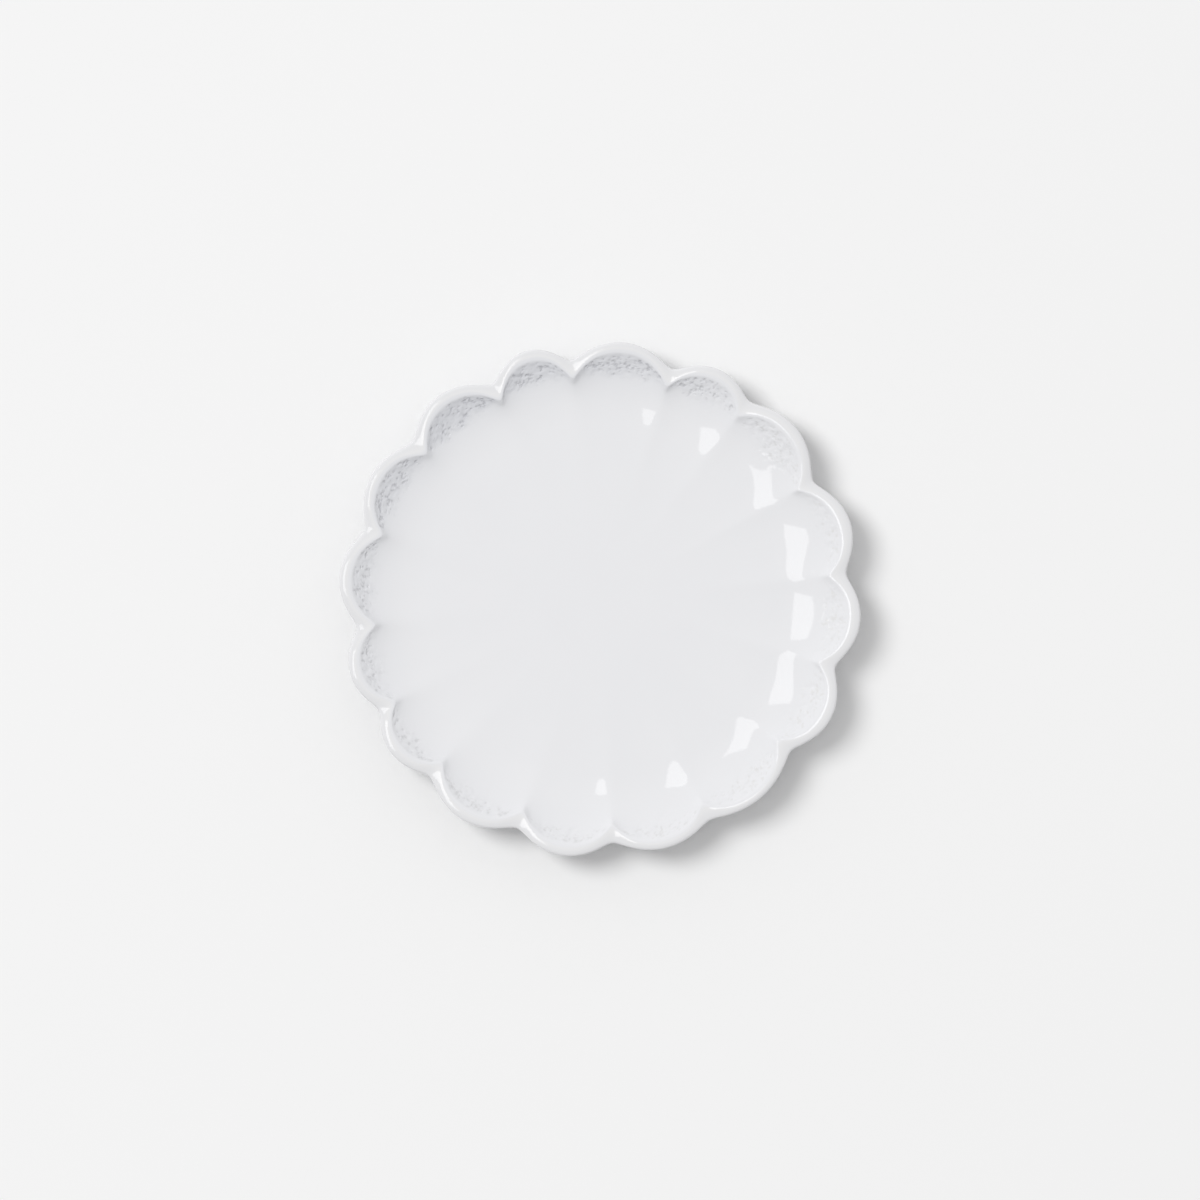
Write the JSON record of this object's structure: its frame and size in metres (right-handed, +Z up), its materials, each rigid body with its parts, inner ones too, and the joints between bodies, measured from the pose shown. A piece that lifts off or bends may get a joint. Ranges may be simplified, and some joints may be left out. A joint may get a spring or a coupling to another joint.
{
  "type": "bread plate",
  "caption": "Small shallow plate of white glazed stoneware with a flat well, a hand-cut petalled rim with a raised rounded lip, and a bare foot ring; holds bread or a side portion.",
  "frame": {"origin": "on the table plane, under the middle of the plate, where the foot ring's resting face lies", "axes": "+Z up out of the well; +X to the right and +Y to the top of the picture, which looks straight down"},
  "size_m": [0.1512, 0.1492, 0.014],
  "materials": {
    "stoneware": "bare fired stoneware, matt",
    "glaze": "white gloss glaze, a little cool, thin on the lip and even in the well"
  },
  "bodies": {
    "root": {"clay_body": "stoneware", "foot_ring": "stoneware", "face_glaze": "glaze", "back_glaze": "glaze", "recess_glaze": "glaze"}
  },
  "joints": []
}
